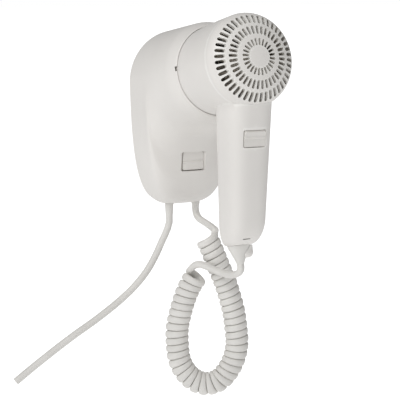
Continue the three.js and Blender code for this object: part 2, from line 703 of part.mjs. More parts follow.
const mainsRoute = [
  [-GLAND_X, GLAND_Y, GLAND_Z - MAINS_TAIL - GAP],
  [-GLAND_X, GLAND_Y, -106],
  [-17.5, -16.7, -114],
  [-22.5, -16.2, -124],
  [-30, -16, -139],
  [-40.5, -16, -155],
  [-55, -16, -170],
  [-74, -16, -184.5],
  [-97, -16, -199],
  [-121, -16, -212.5],
  [-144, -16, -226.5],
  [-165, -16, -240],
  [-182, -16, -251.5],
];
addPiece('mains_lead', cord(mainsRoute, MAINS_RADIUS, 14), cordSheath());

const baseLeadRoute = [
  [GLAND_X, GLAND_Y, GLAND_Z - CURLY_TAIL - GAP],
  [GLAND_X, GLAND_Y, -94],
  [15, -19, -99],
  [14.5, -25.5, -102.5],
  [14, -35, -104],
  [12.5, -47, -104.8],
  [10.5, -58.5, -105.4],
  [8.5, -68.5, -106],
  [6.6, -76.5, -107],
];
addPiece('coil_lead_base', cord(baseLeadRoute, CURLY_WIRE_RADIUS, 14), cordSheath());

const coilRoute = [
  [-2, -75, -114],
  [2, -77, -124],
  [6, -79, -135],
  [10, -81, -146],
  [14, -83, -157],
  [18.3, -85, -172],
  [22, -87, -188.5],
  [24, -88, -205],
  [25, -88.5, -220.5],
  [22.3, -87.3, -236],
  [16, -84, -250],
  [8, -80, -259],
  [-1.6, -75, -262],
  [-11, -70, -259.5],
  [-20, -65.7, -251],
  [-26, -62.7, -238],
  [-28, -61.6, -221.5],
  [-28, -61.6, -205],
  [-25, -63, -188.5],
  [-20.7, -65.3, -172.3],
  [-16.2, -67.5, -161],
  [-11, -70.2, -151.6],
];
addPiece('curly_coil', cord(coilRoute, COIL_RADIUS, 22), cordSheath());

const handsetLeadRoute = [
  [-15.1, -66.3, -145.4],
  [-14.4, -72, -141.1],
  [-12.6, -79, -138.6],
  [-9.1, -86, -139.1],
  [-3.9, -93, -142],
  [-0.3, -104, -143.6],
  [0.2, -116, -143],
  [-0.2, -127, -141.2],
  [-0.5, -134.6, -139],
  [-0.5, -138.7, -136.9],
  [-0.5, -141.9, -133.4],
  barrelPoint(BOOT_X, -BOOT_END - 2.4, BOOT_S).toArray(),
  barrelPoint(BOOT_X, -BOOT_END - GAP, BOOT_S).toArray(),
];
addPiece('coil_lead_handset', cord(handsetLeadRoute, CURLY_WIRE_RADIUS, 20), cordSheath());

export default dryer;
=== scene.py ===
"""A wall-mounted hair dryer with its handset docked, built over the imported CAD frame.

Lengths are in metres, in the frame's own axes: the wall is y = 0, the dryer stands out along -Y and +Z is up.
The docked barrel has axes of its own: x across, h up from its axis, and s along it, zero at the cradle's rim.
"""

import json
import math

import bmesh
import bpy
import numpy as np
from mathutils import Matrix, Vector


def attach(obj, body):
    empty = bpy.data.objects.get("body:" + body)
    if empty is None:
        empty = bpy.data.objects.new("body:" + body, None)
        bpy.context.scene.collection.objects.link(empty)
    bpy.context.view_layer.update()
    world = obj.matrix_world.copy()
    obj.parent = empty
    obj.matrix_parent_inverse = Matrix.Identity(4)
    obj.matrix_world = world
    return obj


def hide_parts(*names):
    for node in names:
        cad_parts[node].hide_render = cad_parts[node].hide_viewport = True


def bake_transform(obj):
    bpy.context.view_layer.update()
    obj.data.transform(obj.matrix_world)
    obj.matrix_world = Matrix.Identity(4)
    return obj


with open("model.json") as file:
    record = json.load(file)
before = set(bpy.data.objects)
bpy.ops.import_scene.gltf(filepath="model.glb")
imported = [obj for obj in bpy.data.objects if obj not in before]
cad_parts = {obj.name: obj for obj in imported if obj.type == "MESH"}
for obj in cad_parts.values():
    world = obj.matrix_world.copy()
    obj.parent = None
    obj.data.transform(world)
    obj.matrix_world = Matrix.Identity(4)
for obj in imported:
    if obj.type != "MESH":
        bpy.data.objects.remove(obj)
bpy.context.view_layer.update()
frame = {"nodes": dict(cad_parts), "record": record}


def mm(values):
    """Millimetres, one number or a list of points, as metres."""
    return np.array(values, float) * 0.001


# ---------------------------------------------------------------- driving dimensions

# The barrel's axis. Names in _S are distances along it from the rim, and names in _H are heights above it.
AXIS_TILT = math.radians(12)
RIM_CENTRE = mm([0, -95, 52])

# Wall base. Its underside runs from the wall to the rim, and squares and tapers where the base is long.
BACK_HALF_WIDTH = mm(50.5)
BACK_TOP = mm([0, 0, 87.5])
RIM_RADIUS = mm(49.2)
RIM_BORE = mm(43.8)
RIM_LIP = mm(4.8)
RIM_ROUND = mm(0.9)
RIM_NARROWING, RIM_NARROWING_LENGTH = mm([4.7, 18])
BASE_WALL = mm(2.5)
LOWER_SQUARENESS = 2.1
LOWER_TAPER = 0.14
UNDERSIDE = mm([
    [0, 0, -86], [0, -14, -87.5], [0, -30, -82], [0, -40, -62], [0, -43, -36], [0, -52, -16], [0, -74, -5],
])
BACK_EDGE, BACK_EDGE_SHARE = mm(0.6), 0.012
KEYWAY_SIZE = mm([2.6, 4.6, 6])

# Barrel and grille. The nose is inside the cradle, and the seam is where the barrel meets the rim.
BARREL_RADIUS = mm(44)
SEAM_RADIUS = mm(42.8)
NOSE_RADIUS = mm(31)
NOSE_ROUND = mm(1)
NOSE_S = mm(-55)
BARREL_SHOULDER = mm([40.5, -24])
SEAM_S = mm(-6)
WIDEST_S = mm(30)
GRILLE_S = mm(58)
DOME_S = mm(61)
DOME_HEIGHT = mm(21.6)
GRILLE_WALL = mm(4)
PLUG_WALL, PLUG_LENGTH = mm([1.6, 5])
SHELL_WALL = mm(2.3)
GAP = mm(0.3)
SEAM = mm(0.08)

# Handle. Its sizes are half its width and half its depth, and its end shrinks to a share of them.
HANDLE_TOP_H, HANDLE_END_H = mm([-20, -168])
HANDLE_TOP_S, HANDLE_END_S = mm([48, 13.5])
HANDLE_TOP_SIZE = mm([23.4, 25.6])
HANDLE_END_SIZE = mm([18.4, 20.4])
HANDLE_END_ROUND = mm(22)
HANDLE_END_SHARE = 0.56
HANDLE_END_SHIFT = mm(6.5)
HANDLE_SQUARENESS = 3.2
HANDLE_SCREWS = mm([[-98, 22], [-146, 6]])
SCREW_HOLE = mm(3.2)
SLIT_SIZE = mm([8, 0.7, 14])
SLIT_PLACE = mm([-2.6, -163, 30])

# Rockers. Pressed is 1 where the upper half is pressed at rest, and -1 where the lower half is.
# The base's rocker sits at a share of the underside's length, and the handle's at a height.
BASE_ROCKER = {"size": mm([22.5, 19]), "share": 0.482, "pressed": 1}
HANDLE_ROCKER = {"size": mm([22, 16]), "h": mm(-72.5), "pressed": -1}
ROCKER_DEPTH = mm(9)
ROCKER_FOOT_INSET = mm(1.6)
ROCKER_RECESS = mm(1.5)
ROCKER_PIVOT_DEPTH = mm(5.9)
ROCKER_THROW = math.radians(14)
ROCKER_CORNER = mm(1.8)
CHEEK_WIDTH, CHEEK_DEPTH = mm([2, 2.2])
RIB_HEIGHT, RIB_WIDTH, RIB_PLACE = mm([1.1, 1.1, 1.5])

# The grille's slots. Each is as wide as a share of the pitch at the middle of its ring.
SLOT_RINGS = (
    {"inner": mm(10.3), "outer": mm(17.2), "count": 24},
    {"inner": mm(21), "outer": mm(29.3), "count": 36},
    {"inner": mm(31.6), "outer": mm(40.2), "count": 44},
)
SLOT_SHARE = 0.65
SLOT_TOOL_DEPTH = mm(32)

# Cords. The curly cord's turns have a squarish section, whose width follows the distance between turns.
MAINS_RADIUS = mm(3.6)
WIRE_RADIUS = mm(3.3)
COIL_RADIUS = mm(11.8)
COIL_TURNS = 42
STEPS_PER_TURN = 18
COIL_SQUARENESS = 2.8
COIL_CLOSENESS = 0.97

# Strain reliefs and boss. The boot and boss are drawn as (radius, depth below the barrel's axis).
GLAND_X, GLAND_Y, GLAND_TOP = mm([15, -17, -86])
GLAND_HOLE = mm(4.6)
MAINS_TAIL, CURLY_TAIL = mm([14, 5])

BOOT_X, BOOT_S = mm([-0.5, 8])
BOOT_NECK = mm([[0, 162], [7.4, 162], [7.4, 164.6], [5.4, 165.2], [5.4, 168.05], [10.9, 168.05]])
BOOT_NECK_RADIUS = BOOT_NECK[-2, 0]
BOOT_CONE = mm([[11.2, 168.3], [10.4, 170.5], [8.8, 174], [6.9, 178], [5.1, 182], [3.9, 185], [3.5, 186]])
BOOT_END = BOOT_CONE[-1, 1]
BOSS_OFFSET, BOSS_RADIUS, BOSS_ROUND, BOSS_CHAMFER = mm([5.3, 8.5, 5.3, 0.4])
BOSS_TOP, BOSS_SIDE_END, BOSS_ROUND_FROM = mm([168.4, 173, 175.3])

# Fineness, and the sizes of cutting tools that reach past what they cut.
EDGE_ROUND = mm(0.25)
ROUND = 128
BEYOND_S = mm(95)
HALF_SPACE = mm([200, 500, 600])

# Camera and light. Lighting is how strongly the white world and floor light the dryer.
CAMERA_AZIMUTH, CAMERA_ELEVATION = math.radians(-27.08), math.radians(8.77)
CAMERA_TARGET = mm([3.3, -50, -79.69])
CAMERA_DISTANCE = 1.4
LENS, SENSOR = 126, 36
LIGHT_TARGET = mm([0, -60, -50])
KEY_LIGHT = {"place": (-1.3, -0.8, 1.2), "size": 1.2, "power": 17.2}
FILL_LIGHT = {"place": (0.2, -2.0, 0.5), "size": 1.2, "power": 0.8}
WORLD_LIGHTING, FLOOR_LIGHTING = 0.315, 0.43
FLOOR_REACH, FLOOR_HEIGHT = 30, -0.42

WHITE, BLACK = (1, 1, 1, 1), (0, 0, 0, 1)

# ---------------------------------------------------------------- cord routes

# The middle lines of the CAD's cords, from the base outwards. The two that leave a gland start inside it.
# The curly cord follows the last three in turn.
MAINS_ROUTE = mm([
    [-15, -17, -92], [-15, -17, -100.3], [-15, -17, -106], [-17.5, -16.7, -114], [-22.5, -16.2, -124],
    [-30, -16, -139], [-40.5, -16, -155], [-55, -16, -170], [-74, -16, -184.5], [-97, -16, -199],
    [-121, -16, -212.5], [-144, -16, -226.5], [-165, -16, -240], [-182, -16, -251.5],
])
BASE_LEAD_ROUTE = mm([
    [15, -17, -86], [15, -17, -91.3], [15, -17, -94], [15, -19, -99], [14.5, -25.5, -102.5], [14, -35, -104],
    [12.5, -47, -104.8], [10.5, -58.5, -105.4], [8.5, -68.5, -106], [6.6, -76.5, -107],
])
COIL_ROUTE = mm([
    [-2, -75, -114], [2, -77, -124], [6, -79, -135], [10, -81, -146], [14, -83, -157], [18.3, -85, -172],
    [22, -87, -188.5], [24, -88, -205], [25, -88.5, -220.5], [22.3, -87.3, -236], [16, -84, -250],
    [8, -80, -259], [-1.6, -75, -262], [-11, -70.2, -259.5], [-20, -65.7, -251], [-26, -62.7, -238],
    [-28, -61.6, -221.5], [-28, -61.6, -205], [-25, -63, -188.5], [-20.7, -65.3, -172.3],
    [-16.2, -67.5, -161], [-11, -70.2, -151.6],
])
HANDSET_LEAD_ROUTE = mm([
    [-15.1, -66.3, -145.4], [-14.4, -72, -141.1], [-12.6, -79, -138.6], [-9.1, -86, -139.1],
    [-3.9, -93, -142], [-0.3, -104, -143.6], [0.2, -116, -143], [-0.2, -127, -141.2],
    [-0.5, -134.6, -139], [-0.5, -138.7, -136.9], [-0.5, -141.9, -133.4],
])

# ---------------------------------------------------------------- the barrel's frame

RIM_UP = np.array([0, math.sin(AXIS_TILT), math.cos(AXIS_TILT)])
AXIS = np.array([0, -math.cos(AXIS_TILT), math.sin(AXIS_TILT)])
IN_BARREL = Matrix.Translation(RIM_CENTRE) @ Matrix.Rotation(math.pi / 2 - AXIS_TILT, 4, "X")


def barrel_point(x, h, s):
    """The place that is x across, h up from the barrel's axis and s along it."""
    return np.array([x, 0, 0]) + RIM_CENTRE + h * RIM_UP + s * AXIS


# ---------------------------------------------------------------- camera, floor and light


def add_camera():
    flat = math.cos(CAMERA_ELEVATION)
    back = Vector((
        math.sin(CAMERA_AZIMUTH) * flat,
        -math.cos(CAMERA_AZIMUTH) * flat,
        math.sin(CAMERA_ELEVATION),
    ))
    data = bpy.data.cameras.new("camera")
    data.lens, data.sensor_width = LENS, SENSOR
    camera = bpy.data.objects.new("camera", data)
    camera.location = Vector(CAMERA_TARGET) + CAMERA_DISTANCE * back
    camera.rotation_euler = (-back).to_track_quat("-Z", "Y").to_euler()
    bpy.context.collection.objects.link(camera)
    bpy.context.scene.camera = camera


def add_area_light(name, place, size, power):
    """A square soft light that points at the dryer's middle."""
    data = bpy.data.lights.new(name, "AREA")
    data.size, data.energy = size, power
    light = bpy.data.objects.new(name, data)
    light.location = place
    light.rotation_euler = (Vector(LIGHT_TARGET) - Vector(place)).to_track_quat("-Z", "Y").to_euler()
    bpy.context.collection.objects.link(light)


def glow(tree, socket, lighting):
    """Makes a socket's strength light the dryer as given, and show as plain white behind it."""
    path = tree.nodes.new("ShaderNodeLightPath")
    strength = tree.nodes.new("ShaderNodeMapRange")
    strength.inputs["To Min"].default_value, strength.inputs["To Max"].default_value = lighting, 1
    tree.links.new(path.outputs["Is Camera Ray"], strength.inputs["Value"])
    tree.links.new(strength.outputs["Result"], socket)


def add_floor():
    mesh = bpy.data.meshes.new("floor")
    signs = ((-1, -1), (1, -1), (1, 1), (-1, 1))
    corners = [(x * FLOOR_REACH, y * FLOOR_REACH, FLOOR_HEIGHT) for x, y in signs]
    mesh.from_pydata(corners, [], [(0, 1, 2, 3)])
    floor = bpy.data.objects.new("floor", mesh)
    bpy.context.collection.objects.link(floor)
    material = bpy.data.materials.new("floor_white")
    material.use_nodes = True
    shader = material.node_tree.nodes["Principled BSDF"]
    shader.inputs["Base Color"].default_value = (0.85, 0.85, 0.85, 1)
    shader.inputs["Roughness"].default_value = 1
    shader.inputs["Emission Color"].default_value = WHITE
    glow(material.node_tree, shader.inputs["Emission Strength"], FLOOR_LIGHTING)
    mesh.materials.append(material)


def add_studio():
    bpy.context.scene.view_settings.view_transform = "Standard"
    world = bpy.data.worlds.new("studio")
    world.use_nodes = True
    background = world.node_tree.nodes["Background"]
    background.inputs["Color"].default_value = WHITE
    glow(world.node_tree, background.inputs["Strength"], WORLD_LIGHTING)
    bpy.context.scene.world = world
    add_area_light("key", **KEY_LIGHT)
    add_area_light("fill", **FILL_LIGHT)
    add_floor()


# ---------------------------------------------------------------- materials


def srgb(red, green, blue):
    """An sRGB colour, 0 to 255, as linear RGBA."""
    shares = [channel / 255 for channel in (red, green, blue)]
    return [share / 12.92 if share <= 0.04045 else ((share + 0.055) / 1.055) ** 2.4 for share in shares] + [1]


def socket_of(sockets, identifier):
    """A Mix node's sockets share their names between its data types, so identifiers tell them apart."""
    return next(socket for socket in sockets if socket.identifier == identifier)


class Surface:
    """A Principled material being built, whose nodes read the piece's own coordinates."""

    def __init__(self, name, metallic=0.0, specular=0.5):
        self.material = bpy.data.materials.new(name)
        self.material.use_nodes = True
        self.tree = self.material.node_tree
        self.shader = self.tree.nodes["Principled BSDF"]
        self.shader.inputs["Metallic"].default_value = metallic
        self.shader.inputs["Specular IOR Level"].default_value = specular
        self.place = self.tree.nodes.new("ShaderNodeTexCoord").outputs["Object"]

    def noise(self, scale, detail=3.0, stretch=None):
        node = self.tree.nodes.new("ShaderNodeTexNoise")
        node.inputs["Scale"].default_value = scale
        node.inputs["Detail"].default_value = detail
        place = self.place
        if stretch:
            mapping = self.tree.nodes.new("ShaderNodeMapping")
            mapping.inputs["Scale"].default_value = stretch
            self.tree.links.new(place, mapping.inputs["Vector"])
            place = mapping.outputs["Vector"]
        self.tree.links.new(place, node.inputs["Vector"])
        return node.outputs["Fac"]

    def ramp(self, value, low, high, start, end):
        """A colour that goes from low to high as value goes from start to end."""
        node = self.tree.nodes.new("ShaderNodeValToRGB")
        node.color_ramp.elements[0].position, node.color_ramp.elements[0].color = start, low
        node.color_ramp.elements[1].position, node.color_ramp.elements[1].color = end, high
        self.tree.links.new(value, node.inputs["Fac"])
        return node.outputs["Color"]

    def mix(self, share, first, second):
        """The first colour, a socket, turning to the second, a plain colour, as share rises."""
        node = self.tree.nodes.new("ShaderNodeMix")
        node.data_type = "RGBA"
        self.tree.links.new(share, node.inputs["Factor"])
        self.tree.links.new(first, socket_of(node.inputs, "A_Color"))
        socket_of(node.inputs, "B_Color").default_value = second
        return socket_of(node.outputs, "Result_Color")

    def edges(self, start, end):
        """0 on flat stretches and 1 on the piece's raised edges."""
        pointiness = self.tree.nodes.new("ShaderNodeNewGeometry").outputs["Pointiness"]
        return self.ramp(pointiness, BLACK, WHITE, start, end)

    def colour(self, value):
        self.tree.links.new(value, self.shader.inputs["Base Color"])

    def roughness(self, value, low, high):
        node = self.tree.nodes.new("ShaderNodeMapRange")
        node.inputs["To Min"].default_value, node.inputs["To Max"].default_value = low, high
        self.tree.links.new(value, node.inputs["Value"])
        self.tree.links.new(node.outputs["Result"], self.shader.inputs["Roughness"])

    def bump(self, value, height, strength=1.0):
        node = self.tree.nodes.new("ShaderNodeBump")
        node.inputs["Distance"].default_value, node.inputs["Strength"].default_value = height, strength
        self.tree.links.new(value, node.inputs["Height"])
        self.tree.links.new(node.outputs["Normal"], self.shader.inputs["Normal"])


def moulded_plastic(name, shade, light, worn, rough, grain, specular=0.5):
    """Moulded plastic: faint cloudiness in its colour, a spark-eroded grain, and edges rubbed paler."""
    surface = Surface(name, specular=specular)
    cloud = surface.ramp(surface.noise(14, 4), shade, light, 0.35, 0.65)
    surface.colour(surface.mix(surface.edges(0.56, 0.7), cloud, worn))
    surface.roughness(surface.noise(60, 4), rough - 0.06, rough + 0.06)
    surface.bump(surface.noise(1600, 2), grain, 0.35)
    return surface.material


def housing_plastic():
    return moulded_plastic(
        "housing_plastic", srgb(231, 228, 224), srgb(236, 233, 229), srgb(242, 240, 236), 0.42, mm(0.03)
    )


def rocker_plastic():
    return moulded_plastic(
        "rocker_plastic", srgb(229, 226, 221), srgb(234, 231, 227), srgb(241, 239, 235), 0.3, mm(0.012)
    )


def dark_plastic():
    """The inner mouldings, a slightly darker and warmer grey than the housing."""
    return moulded_plastic(
        "dark_plastic", srgb(203, 195, 183), srgb(212, 205, 193), srgb(220, 214, 204), 0.5, mm(0.05), 0.35
    )


def cord_sheath():
    """Soft plastic sheath: slightly matte, with handling marks and a faint drawn grain."""
    surface = Surface("cord_sheath", specular=0.4)
    cloud = surface.ramp(surface.noise(45, 5), srgb(225, 223, 219), srgb(232, 230, 226), 0.35, 0.65)
    handled = surface.ramp(surface.noise(7, 2), BLACK, (0.5, 0.5, 0.5, 1), 0.55, 0.8)
    surface.colour(surface.mix(handled, cloud, srgb(214, 212, 206)))
    surface.roughness(surface.noise(120, 3), 0.42, 0.58)
    surface.bump(surface.noise(900, 3), mm(0.03), 0.3)
    return surface.material


def steel():
    """Plated steel with fine turning marks."""
    surface = Surface("steel", metallic=1)
    surface.colour(surface.ramp(surface.noise(200, 4), srgb(178, 180, 182), srgb(206, 207, 208), 0.3, 0.7))
    surface.roughness(surface.noise(500, 3, (1, 1, 9)), 0.22, 0.42)
    surface.bump(surface.noise(1500, 2, (1, 1, 12)), mm(0.01), 0.3)
    return surface.material


def mica():
    """Layered mica: pale brown, with flakes of a darker tone."""
    surface = Surface("mica", specular=0.6)
    flakes = surface.ramp(surface.noise(350, 6), srgb(178, 160, 124), srgb(214, 199, 168), 0.38, 0.62)
    surface.colour(flakes)
    surface.roughness(surface.noise(220, 4), 0.35, 0.7)
    surface.bump(surface.noise(700, 4), mm(0.05), 0.4)
    return surface.material


def heating_wire():
    """Oxidised resistance wire, dull brown where it runs hottest."""
    surface = Surface("heating_wire", metallic=1)
    surface.colour(surface.ramp(surface.noise(90, 4), srgb(112, 98, 86), srgb(160, 152, 142), 0.35, 0.65))
    surface.roughness(surface.noise(300, 3), 0.35, 0.6)
    surface.bump(surface.noise(1200, 2), mm(0.02), 0.3)
    return surface.material


MATERIALS = {
    make.__name__: make()
    for make in (housing_plastic, rocker_plastic, dark_plastic, cord_sheath, steel, mica, heating_wire)
}

# ---------------------------------------------------------------- lines and curves


def smooth_line(points, steps=16):
    """A centripetal Catmull-Rom curve through the points."""
    points = np.asarray(points, float)
    ends = np.vstack([2 * points[0] - points[1], points, 2 * points[-1] - points[-2]])
    line = []
    for p0, p1, p2, p3 in zip(ends, ends[1:], ends[2:], ends[3:]):
        d0, d1, d2 = (math.sqrt(np.linalg.norm(b - a)) for a, b in ((p0, p1), (p1, p2), (p2, p3)))
        start = d1 * ((p1 - p0) / d0 - (p2 - p0) / (d0 + d1) + (p2 - p1) / d1)
        end = d1 * ((p2 - p1) / d1 - (p3 - p1) / (d1 + d2) + (p3 - p2) / d2)
        for t in np.arange(steps) / steps:
            line.append(
                (2 * t**3 - 3 * t**2 + 1) * p1 + (t**3 - 2 * t**2 + t) * start
                + (3 * t**2 - 2 * t**3) * p2 + (t**3 - t**2) * end
            )
    return np.array(line + [points[-1]])


def run_of(line):
    """How far along the line each of its points is."""
    return np.concatenate([[0], np.cumsum(np.linalg.norm(np.diff(line, axis=0), axis=1))])


def spaced(line, count):
    """The line again, as that many points at equal distances."""
    run = run_of(line)
    wanted = np.linspace(0, run[-1], count)
    return np.stack([np.interp(wanted, run, line[:, axis]) for axis in range(3)], axis=1)


def unit(vector):
    return vector / np.linalg.norm(vector)


def directions(line):
    steps = np.gradient(line, axis=0)
    return steps / np.linalg.norm(steps, axis=1)[:, None]


def side_vectors(line, first):
    """At each point a direction square to the line that never twists about it, starting nearest to first."""
    sides, side = [], np.asarray(first, float)
    for along in directions(line):
        side = unit(side - (side @ along) * along)
        sides.append(side)
    return np.array(sides)


# ---------------------------------------------------------------- mesh helpers


def new_piece(name, mesh):
    piece = bpy.data.objects.new(name, mesh)
    bpy.context.collection.objects.link(piece)
    return piece


def mesh_piece(name, vertices, faces):
    """A closed mesh with its doubled points merged and its faces turned outwards."""
    mesh = bpy.data.meshes.new(name)
    mesh.from_pydata([tuple(vertex) for vertex in vertices], [], faces)
    work = bmesh.new()
    work.from_mesh(mesh)
    bmesh.ops.remove_doubles(work, verts=work.verts, dist=1e-7)
    bmesh.ops.recalc_face_normals(work, faces=work.faces)
    work.to_mesh(mesh)
    work.free()
    return new_piece(name, mesh)


def loft(name, rings, closed=False):
    """Rings of equal point count joined in order: end to end if closed, and with flat caps if not."""
    rings = np.asarray(rings)
    count, points = rings.shape[:2]
    faces = []
    for ring in range(count if closed else count - 1):
        here, there = ring * points, (ring + 1) % count * points
        for i in range(points):
            j = (i + 1) % points
            faces.append((here + i, here + j, there + j, there + i))
    if not closed:
        faces.append(tuple(range(points)))
        faces.append(tuple(range((count - 1) * points, count * points)))
    return mesh_piece(name, rings.reshape(-1, 3), faces)


def revolve(name, profile, place=IN_BARREL, sides=ROUND, closed=False):
    """A profile of (radius, distance along the axis) turned about the axis."""
    angles = np.arange(sides) / sides * 2 * math.pi
    rings = [np.stack([r * np.cos(angles), r * np.sin(angles), np.full(sides, z)], 1) for r, z in profile]
    piece = loft(name, rings, closed)
    piece.data.transform(place)
    return piece


def arc(centre, radius, start, end, steps=8):
    """Points of a round corner, from one angle to another in degrees."""
    angles = np.radians(np.linspace(start, end, steps))
    return [(centre[0] + radius * math.cos(a), centre[1] + radius * math.sin(a)) for a in angles]


def apply_modifiers(piece):
    bpy.context.view_layer.update()
    made = bpy.data.meshes.new_from_object(piece.evaluated_get(bpy.context.evaluated_depsgraph_get()))
    piece.modifiers.clear()
    piece.data = made


def combine(piece, tool, operation):
    """The piece with the tool taken off it, added to it or kept within it. The tool is used up."""
    modifier = piece.modifiers.new(operation, "BOOLEAN")
    modifier.solver, modifier.operation, modifier.object = "MANIFOLD", operation, tool
    apply_modifiers(piece)
    bpy.data.objects.remove(tool)
    return piece


def carve(piece, *tools):
    for tool in tools:
        combine(piece, tool, "DIFFERENCE")
    return piece


def copy_of(piece, name):
    return new_piece(name, piece.data.copy())


def round_edges(piece, width, segments=2, angle=40):
    """Rounds the edges where the faces turn by more than the angle."""
    modifier = piece.modifiers.new("round", "BEVEL")
    modifier.width, modifier.segments = width, segments
    modifier.limit_method, modifier.angle_limit = "ANGLE", math.radians(angle)
    apply_modifiers(piece)
    return piece


def shade(piece, angle=34):
    """Smooth shading that breaks only at edges sharper than the angle."""
    work = bmesh.new()
    work.from_mesh(piece.data)
    for face in work.faces:
        face.smooth = True
    for edge in work.edges:
        edge.smooth = len(edge.link_faces) == 2 and edge.calc_face_angle(0) < math.radians(angle)
    work.to_mesh(piece.data)
    work.free()
    modifier = piece.modifiers.new("flat_faces", "WEIGHTED_NORMAL")
    modifier.keep_sharp = True
    apply_modifiers(piece)


def finish_piece(piece, material, body, *nodes):
    """Gives a piece its shading, its material and its body, and hides the CAD nodes that it stands for."""
    shade(piece)
    piece.data.materials.clear()
    piece.data.materials.append(MATERIALS[material])
    if body:
        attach(piece, body)
    if nodes:
        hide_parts(*nodes)
    return piece


def rounded_outline(width, height, corner):
    """A rectangle about the origin with round corners, its width along X."""
    half_w, half_h = width / 2 - corner, height / 2 - corner
    outline = []
    for x, y, start in ((1, 1, 0), (-1, 1, 90), (-1, -1, 180), (1, -1, 270)):
        outline += arc((x * half_w, y * half_h), corner, start, start + 90, 7)
    return outline


def rounded_block(name, width, height, depth, corner, place):
    """A block with round corners, its width along X and height along Y, centred on its depth along Z."""
    outline = rounded_outline(width, height, corner)
    piece = loft(name, [[(x, y, z) for x, y in outline] for z in (-depth / 2, depth / 2)])
    piece.data.transform(place)
    return piece


def tube(name, line, radius, sides=16, towards=None, squareness=2.0, breadth=1.0):
    """A tube along the line. Its section's height lies along towards, and its width is breadth times that."""
    breadth = np.broadcast_to(breadth, len(line))
    along = directions(line)
    towards = side_vectors(line, (1, 0.2, 0.1)) if towards is None else towards
    other = np.cross(along, towards)
    angles = (np.arange(sides) + 0.5) / sides * 2 * math.pi
    waves = np.cos(angles), np.sin(angles)
    across, up = (np.sign(wave) * np.abs(wave) ** (2 / squareness) for wave in waves)
    rings = [
        point + radius * (across[:, None] * a + wide * up[:, None] * b)
        for point, a, b, wide in zip(line, towards, other, breadth)
    ]
    return loft(name, rings)


# ---------------------------------------------------------------- cords


def helix_along(line, radius, turns, first, last):
    """A helix about the line, from beside the point first to beside the point last."""
    side = side_vectors(line, first - line[0])
    other = np.cross(directions(line), side)
    leave = last - line[-1]
    last_angle = math.atan2(leave @ other[-1], leave @ side[-1])
    angles = np.linspace(0, turns * 2 * math.pi + last_angle, len(line))
    return line + radius * (np.cos(angles)[:, None] * side + np.sin(angles)[:, None] * other)


def turn_spacing(coil):
    """At each of the coil's points, how far off the same point of the turns beside it is."""
    spacing = np.linalg.norm(coil[STEPS_PER_TURN:] - coil[:-STEPS_PER_TURN], axis=1)
    to_next = np.pad(spacing, (0, STEPS_PER_TURN), "edge")
    to_last = np.pad(spacing, (STEPS_PER_TURN, 0), "edge")
    return (to_next + to_last) / 2


def add_curly_cord():
    """One tube from the base's gland to the boot, whose coiled turns nearly touch all round the bend."""
    radius = COIL_RADIUS - WIRE_RADIUS
    axis = spaced(smooth_line(COIL_ROUTE), COIL_TURNS * STEPS_PER_TURN)
    coil = helix_along(axis, radius, COIL_TURNS, BASE_LEAD_ROUTE[-1], HANDSET_LEAD_ROUTE[0])
    in_boot = [barrel_point(BOOT_X, h - BOOT_END, BOOT_S) for h in mm([-2.4, 1])]
    steps = 5
    start = smooth_line(np.vstack([BASE_LEAD_ROUTE, coil[:3]]), steps)[: -2 * steps - 1]
    end = smooth_line(np.vstack([coil[-3:], HANDSET_LEAD_ROUTE[1:], in_boot]), steps)[2 * steps + 1 :]
    path = np.vstack([start, coil, end])
    outward = (coil - axis) / radius
    outward_start = side_vectors(start[::-1], outward[0])[::-1]
    outward_end = side_vectors(end, outward[-1])
    towards = np.vstack([outward_start, outward, outward_end])
    along = directions(path)
    towards -= np.sum(towards * along, axis=1)[:, None] * along
    towards /= np.linalg.norm(towards, axis=1)[:, None]
    breadth = np.ones(len(path))
    breadth[len(start) : len(start) + len(coil)] = COIL_CLOSENESS * turn_spacing(coil) / (2 * WIRE_RADIUS)
    cord = tube("curly_cord", path, WIRE_RADIUS, 16, towards, COIL_SQUARENESS, breadth)
    finish_piece(cord, "cord_sheath", None, "coil_lead_base", "curly_coil", "coil_lead_handset")
    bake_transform(cord)


def add_mains_lead():
    """The lead to the fixed wiring, with a shallow hollow in its plain cut end."""
    path = spaced(smooth_line(MAINS_ROUTE), 36)
    lead = tube("mains_cord", path, MAINS_RADIUS, 24)
    hollow = np.array([path[-1] + reach * directions(path)[-1] for reach in mm([-1.2, 2])])
    carve(lead, tube("cut_end", hollow, MAINS_RADIUS * 0.78, 24))
    finish_piece(lead, "cord_sheath", "base", "mains_lead")


# ---------------------------------------------------------------- wall base

RIM_BOTTOM = barrel_point(0, -RIM_RADIUS, -RIM_LIP)
RIM_TOP = barrel_point(0, RIM_RADIUS, -RIM_LIP)
UNDERSIDE_LINE = smooth_line(np.vstack([UNDERSIDE, RIM_BOTTOM]), 40)
BACK_DROP = BACK_TOP[2] - UNDERSIDE[0][2] - 2 * BACK_HALF_WIDTH


def base_outline(bottom, top, half_width):
    """One outline of the base: a half circle above, and a longer, squarer and narrowing half below."""
    up = top - bottom
    drop = np.linalg.norm(up) - half_width
    up = unit(up)
    centre = top - half_width * up
    lower_share = np.clip((drop - half_width) / BACK_DROP, 0, 1)
    power = 2 / (2 + LOWER_SQUARENESS * lower_share)
    ring = []
    for angle in np.arange(ROUND) / ROUND * 2 * math.pi:
        across, along = math.cos(angle), math.sin(angle)
        x, v = half_width * across, half_width * along
        if along < 0:
            depth = abs(along) ** power
            x = half_width * math.copysign(abs(across) ** power, across)
            x *= 1 - LOWER_TAPER * lower_share**4 * depth**1.5
            v = -drop * depth
        ring.append(centre + v * up + np.array([x, 0, 0]))
    return np.array(ring)


